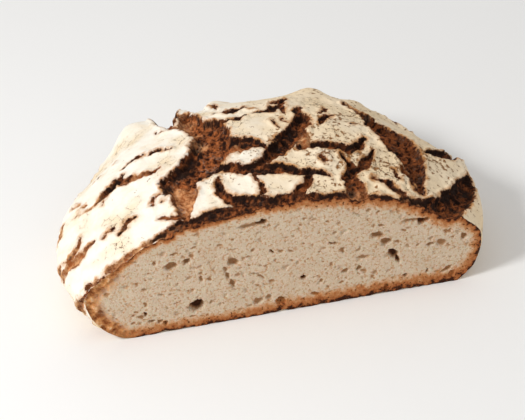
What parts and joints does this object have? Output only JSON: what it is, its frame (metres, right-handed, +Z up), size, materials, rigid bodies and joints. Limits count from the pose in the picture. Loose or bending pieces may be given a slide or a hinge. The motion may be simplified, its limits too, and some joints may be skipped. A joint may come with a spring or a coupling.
{
  "type": "rye bread loaf",
  "caption": "Round hearth-baked rye loaf with a floured, torn crust and a straight cut that bares the open crumb; it stands on its flat underside.",
  "frame": {"origin": "on the flat underside, straight below the crown of the loaf", "axes": "+Z up through the crown, +X along the cut face to the right, -Y out of the cut face"},
  "size_m": [0.3071, 0.2049, 0.105],
  "materials": {
    "crust": "matt baked rye crust, dusted with flour, toasted brown in its tears",
    "crumb": "matt open rye crumb, pale grey-beige, with orange-brown pores"
  },
  "bodies": {
    "root": {"loaf": "crust"}
  },
  "joints": []
}
